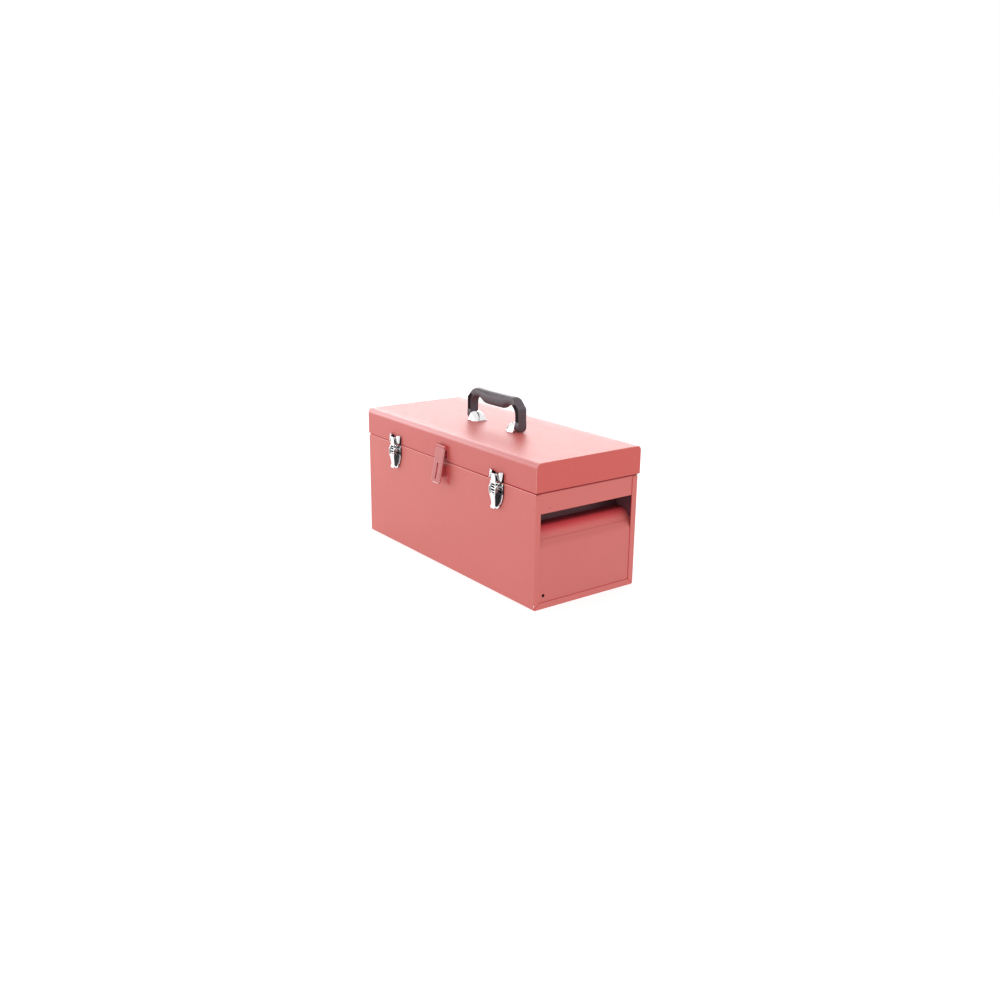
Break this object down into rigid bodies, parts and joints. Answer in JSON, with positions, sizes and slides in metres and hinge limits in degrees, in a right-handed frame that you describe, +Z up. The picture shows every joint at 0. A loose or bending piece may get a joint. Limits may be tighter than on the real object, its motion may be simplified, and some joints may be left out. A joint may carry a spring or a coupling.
{
  "type": "toolbox with tray",
  "caption": "Long steel toolbox with hinged lid, two draw latches, a hasp, a folding carry handle, hand recesses in the ends and a lift-out tray.",
  "frame": {"origin": "centre of the underside, on the surface that the box stands on", "axes": "+X along the length towards the right end, -Y towards the latches, +Z up"},
  "size_m": [0.508, 0.2357, 0.2995],
  "materials": {
    "red_paint": "satin powder coat with a fine orange peel, worn at the edges",
    "tray_paint": "satin powder coat, scuffed inside",
    "zinc_steel": "bright zinc plate",
    "chrome": "bright nickel-chrome plate",
    "handle_plastic": "moulded dark plastic with a soft sheen"
  },
  "bodies": {
    "body": {"body_shell": "red_paint", "left_end_panel": "red_paint", "right_end_panel": "red_paint", "left_grip_band": "red_paint", "right_grip_band": "red_paint", "tray_rest_left": "zinc_steel", "tray_rest_right": "zinc_steel", "hinge_body_leaf": "zinc_steel", "hinge_pin": "zinc_steel", "latch_plate_left": "chrome", "latch_plate_right": "chrome", "latch_pin_left": "chrome", "latch_pin_right": "chrome", "latch_rivets": "chrome", "hasp_staple": "red_paint", "staple_rivets": "red_paint"},
    "lid": {"lid_cover": "red_paint", "lid_end_left": "red_paint", "lid_end_right": "red_paint", "hinge_lid_leaf": "zinc_steel", "latch_keeper_left": "chrome", "latch_keeper_right": "chrome", "keeper_rivets": "chrome", "hasp_plate": "red_paint", "hasp_pin": "zinc_steel", "hasp_rivets": "red_paint", "handle_bracket_left": "chrome", "handle_bracket_right": "chrome", "handle_pin_left": "chrome", "handle_pin_right": "chrome", "bracket_rivets": "chrome"},
    "handle": {"handle_grip": "handle_plastic"},
    "hasp": {"hasp_strap": "red_paint"},
    "lever_left": {"latch_lever_left": "chrome", "latch_link_pin_left": "chrome"},
    "lever_right": {"latch_lever_right": "chrome", "latch_link_pin_right": "chrome"},
    "link_left": {"latch_link_left": "chrome"},
    "link_right": {"latch_link_right": "chrome"},
    "tray": {"tray_pan": "tray_paint", "tray_end_left": "tray_paint", "tray_end_right": "tray_paint", "tray_divider_long": "tray_paint", "tray_dividers_cross": "tray_paint"},
    "bail": {"tray_bail": "zinc_steel", "tray_bail_grip": "handle_plastic"}
  },
  "joints": [
    {"name": "lid_open", "type": "hinge", "parent": "body", "child": "lid", "pos_m": [0, 0.109, 0.1906], "axis": [-1, 0, 0], "range_deg": [0, 105]},
    {"name": "handle_fold", "type": "hinge", "parent": "lid", "child": "handle", "pos_m": [0, 0.004, 0.2514], "axis": [1, 0, 0], "range_deg": [-88, 88]},
    {"name": "hasp_swing", "type": "hinge", "parent": "lid", "child": "hasp", "pos_m": [0, -0.1113, 0.2175], "axis": [-1, 0, 0], "range_deg": [-10, 120]},
    {"name": "tray_lift", "type": "slide", "parent": "body", "child": "tray", "axis": [0, 0, 1], "range_m": [0, 0.045]},
    {"name": "bail_fold", "type": "hinge", "parent": "tray", "child": "bail", "pos_m": [0, 0, 0.178], "axis": [-1, 0, 0], "range_deg": [0, 180]},
    {"name": "lever_left_open", "type": "hinge", "parent": "body", "child": "lever_left", "pos_m": [-0.1545, -0.1117, 0.1825], "axis": [-1, 0, 0], "range_deg": [0, 105]},
    {"name": "link_left_follow", "type": "hinge", "parent": "lever_left", "child": "link_left", "pos_m": [-0.1545, -0.1141, 0.1748], "axis": [-1, 0, 0], "range_deg": [-105, 0]},
    {"name": "lever_right_open", "type": "hinge", "parent": "body", "child": "lever_right", "pos_m": [0.1545, -0.1117, 0.1825], "axis": [-1, 0, 0], "range_deg": [0, 105]},
    {"name": "link_right_follow", "type": "hinge", "parent": "lever_right", "child": "link_right", "pos_m": [0.1545, -0.1141, 0.1748], "axis": [-1, 0, 0], "range_deg": [-105, 0]}
  ],
  "couplings": [
    {"joint": "link_left_follow", "follows": "lever_left_open", "ratio": -1},
    {"joint": "link_right_follow", "follows": "lever_right_open", "ratio": -1}
  ]
}
